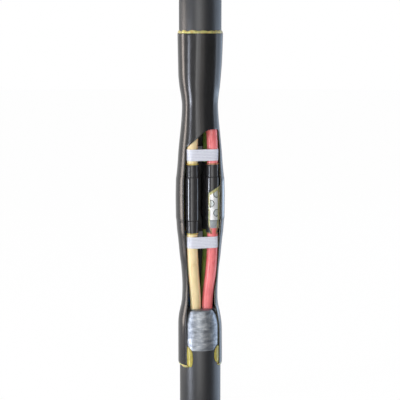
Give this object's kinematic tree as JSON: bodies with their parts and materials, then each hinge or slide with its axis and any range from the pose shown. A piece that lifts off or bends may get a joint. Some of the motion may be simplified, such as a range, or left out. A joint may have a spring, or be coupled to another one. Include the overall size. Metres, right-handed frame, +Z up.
{
  "type": "cable joint",
  "caption": "Straight heat-shrink joint between two multi-core low-voltage cables, its jacket cut open over the sleeved cores, one sleeve opened to the bolted connector",
  "frame": {"origin": "centre of the lower cable's square-cut end, on the joint's axis", "axes": "+Z runs up along the joint's axis to the upper cable, -Y faces the window in the jacket, +X is to the right of someone who looks into the window"},
  "size_m": [0.0494, 0.047, 0.4239],
  "materials": {
    "jacket": "gloss",
    "adhesive": "satin",
    "cable_sheath": "satin",
    "inner_covering": "matte",
    "end_wrap": "satin",
    "binding_tape": "satin",
    "core_yellow": "satin",
    "core_red": "satin",
    "core_green": "satin",
    "core_blue": "satin",
    "conductor": "bright",
    "mastic": "matte",
    "connector": "satin",
    "shear_bolt": "satin",
    "sleeve": "satin",
    "lining": "satin"
  },
  "bodies": {
    "root": {"outer_jacket": "jacket", "lower_jacket_adhesive": "adhesive", "lower_cable_sheath": "cable_sheath", "lower_inner_covering": "inner_covering", "lower_end_wrap": "end_wrap", "lower_binding_tape": "binding_tape", "lower_core_yellow": "core_yellow", "lower_conductor_yellow": "conductor", "lower_mastic_yellow": "mastic", "lower_core_red": "core_red", "lower_conductor_red": "conductor", "lower_mastic_red": "mastic", "lower_core_green": "core_green", "lower_conductor_green": "conductor", "lower_mastic_green": "mastic", "lower_core_blue": "core_blue", "lower_conductor_blue": "conductor", "lower_mastic_blue": "mastic", "upper_jacket_adhesive": "adhesive", "upper_cable_sheath": "cable_sheath", "upper_inner_covering": "inner_covering", "upper_end_wrap": "end_wrap", "upper_binding_tape": "binding_tape", "upper_core_yellow": "core_yellow", "upper_conductor_yellow": "conductor", "upper_mastic_yellow": "mastic", "upper_core_red": "core_red", "upper_conductor_red": "conductor", "upper_mastic_red": "mastic", "upper_core_green": "core_green", "upper_conductor_green": "conductor", "upper_mastic_green": "mastic", "upper_core_blue": "core_blue", "upper_conductor_blue": "conductor", "upper_mastic_blue": "mastic", "connector_yellow": "connector", "shear_bolts_yellow": "shear_bolt", "sleeve_yellow": "sleeve", "sleeve_lining_yellow": "lining", "connector_red": "connector", "shear_bolts_red": "shear_bolt", "sleeve_red": "sleeve", "sleeve_lining_red": "lining", "connector_green": "connector", "shear_bolts_green": "shear_bolt", "sleeve_green": "sleeve", "sleeve_lining_green": "lining", "connector_blue": "connector", "shear_bolts_blue": "shear_bolt", "sleeve_blue": "sleeve", "sleeve_lining_blue": "lining"}
  },
  "joints": []
}
